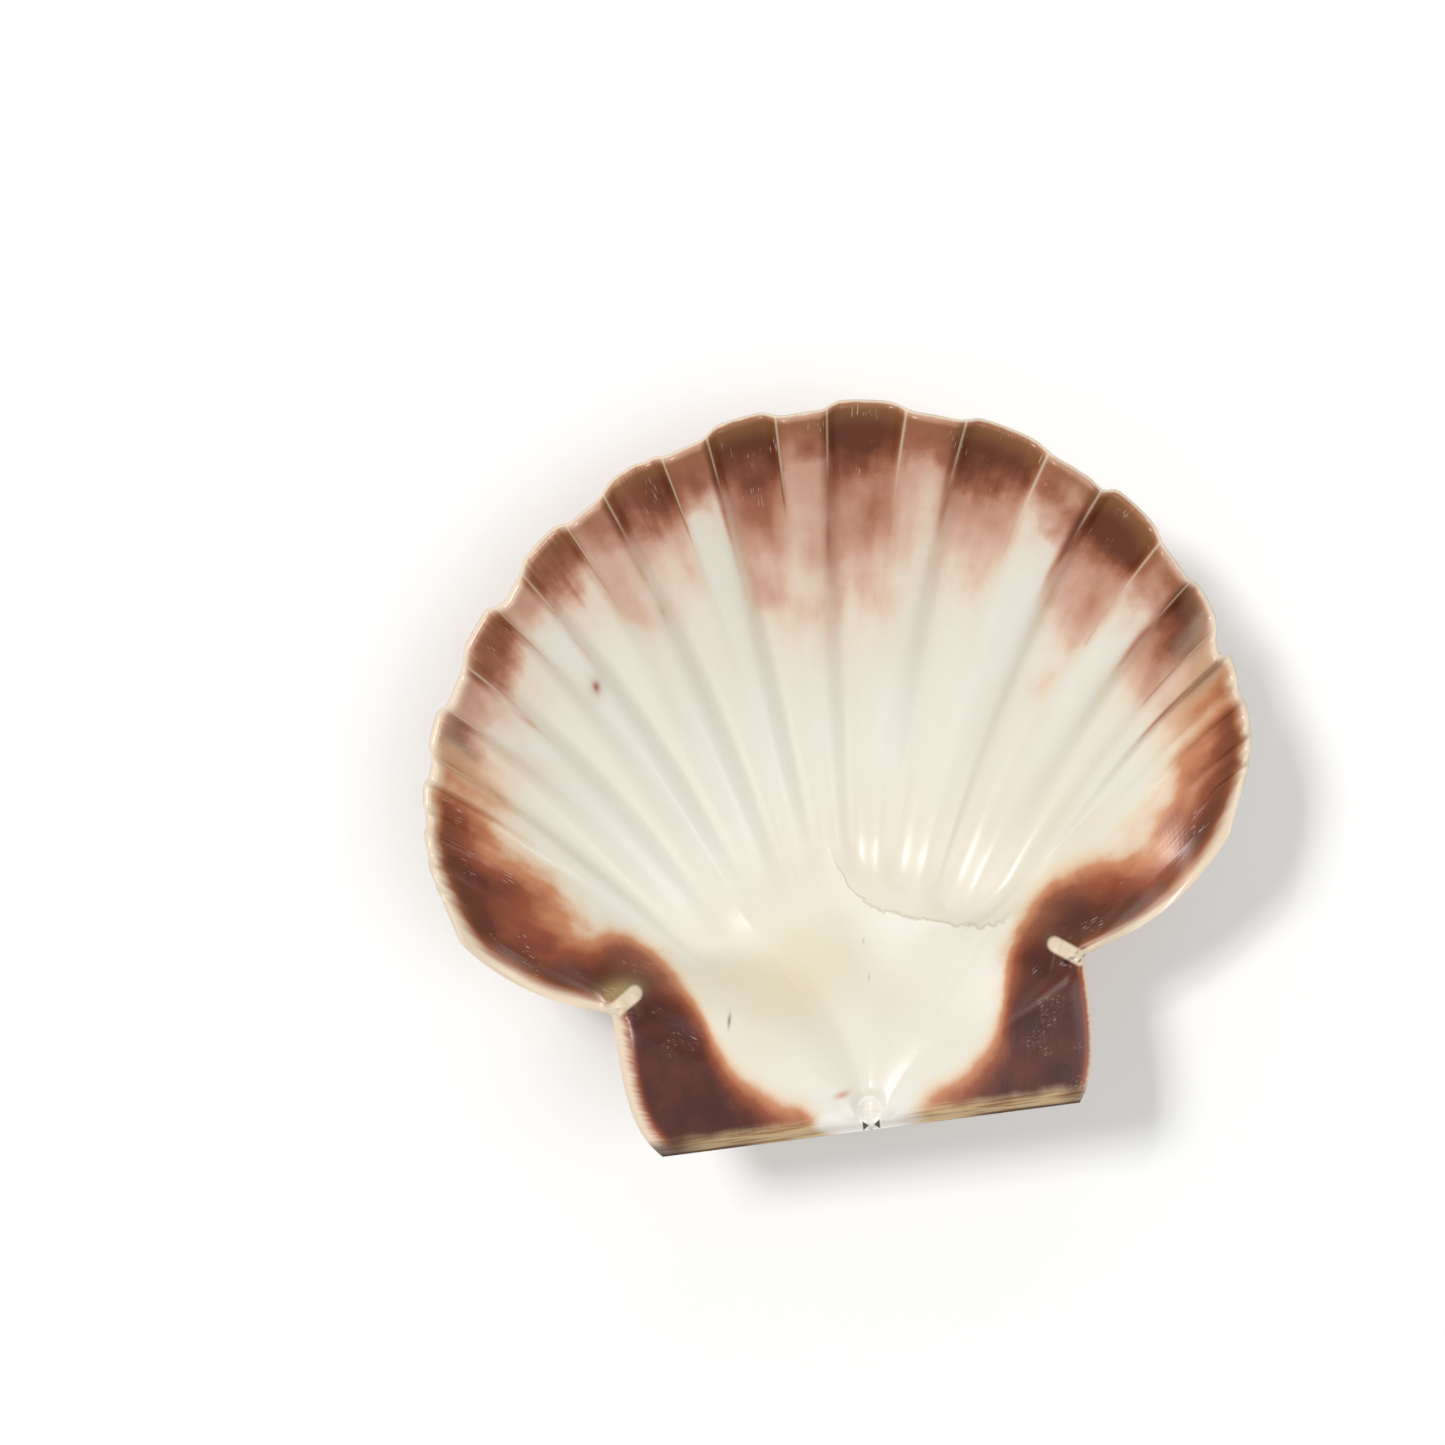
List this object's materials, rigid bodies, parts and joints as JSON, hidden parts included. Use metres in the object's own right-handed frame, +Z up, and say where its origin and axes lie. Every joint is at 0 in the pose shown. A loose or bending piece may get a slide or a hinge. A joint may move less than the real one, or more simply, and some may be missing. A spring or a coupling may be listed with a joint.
{
  "type": "scallop shell valve",
  "caption": "Cupped, ribbed lower valve of a scallop shell with straight-hinged ears, lying on its back with the glossy hollow side up.",
  "frame": {"origin": "on the table, under the middle of the shell's bounding box", "axes": "+X along the hinge line towards the right ear as seen from above, +Y from the hinge towards the fan's rim, +Z up, out of the hollow"},
  "size_m": [0.1328, 0.1168, 0.0324],
  "materials": {
    "shell": "gloss"
  },
  "bodies": {
    "root": {"scallop_valve": "shell"}
  },
  "joints": []
}
